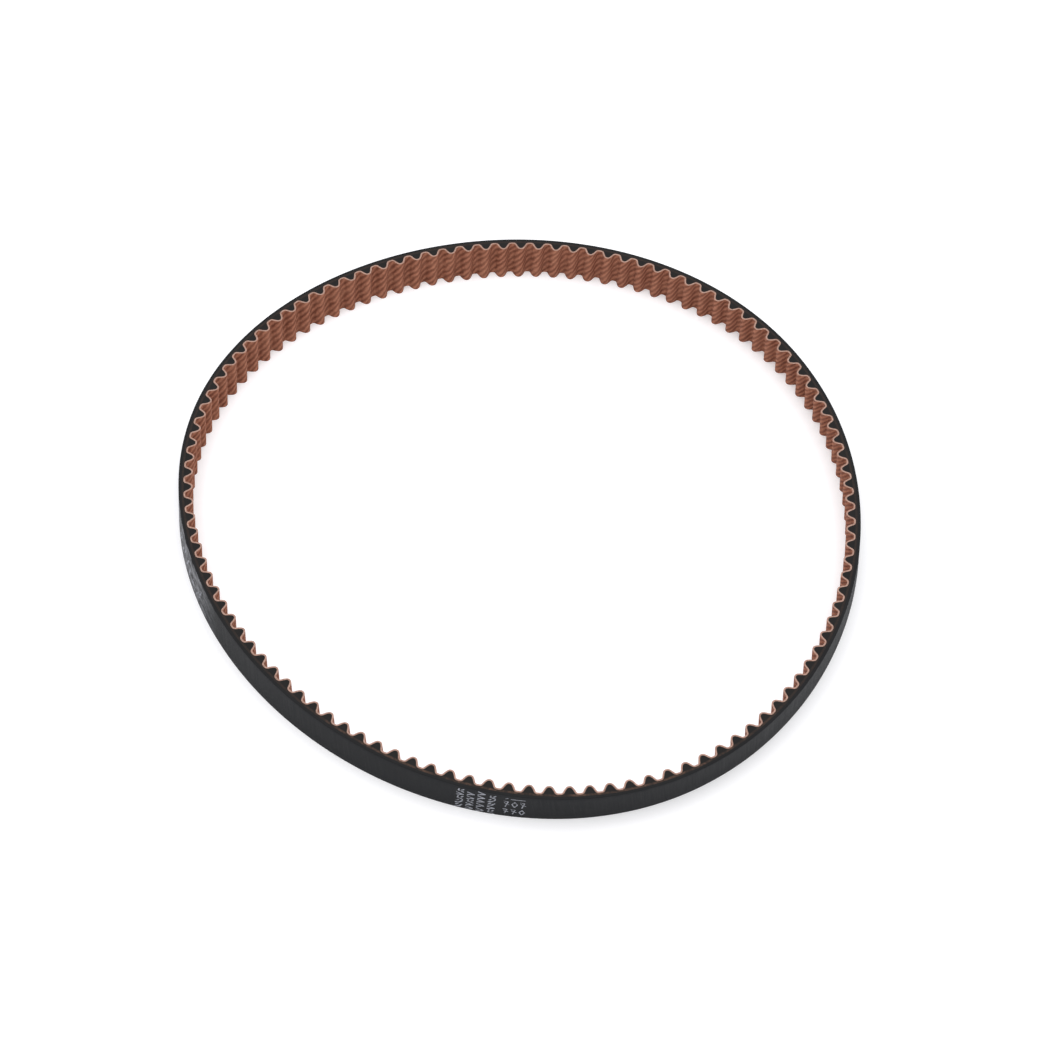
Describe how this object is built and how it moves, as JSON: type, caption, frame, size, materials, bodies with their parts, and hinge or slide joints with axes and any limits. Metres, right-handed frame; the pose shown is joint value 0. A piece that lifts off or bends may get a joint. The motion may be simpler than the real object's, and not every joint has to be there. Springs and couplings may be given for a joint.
{
  "type": "timing belt",
  "caption": "Endless synchronous belt with curvilinear teeth inside the loop, a fabric tooth facing, a rubber back and wound tension cords.",
  "frame": {"origin": "centre of the loop's box, in the plane of the lower cut edge", "axes": "+Z across the belt's width, from the lower cut edge to the upper one; the loop lies in the XY plane, with the printed side of the back facing -Y"},
  "size_m": [0.108, 0.1094, 0.0064],
  "materials": {
    "backing_rubber": "matte ground rubber",
    "tooth_rubber": "matte cut rubber",
    "facing_fabric": "brown nylon twill, treated",
    "tension_cord": "treated glass fibre cord",
    "back_ink": "worn pale ink"
  },
  "bodies": {
    "root": {"backing_rubber": "backing_rubber", "tooth_rubber": "tooth_rubber", "facing_fabric": "facing_fabric", "tension_cord_s": "tension_cord", "tension_cord_z": "tension_cord"}
  },
  "joints": []
}
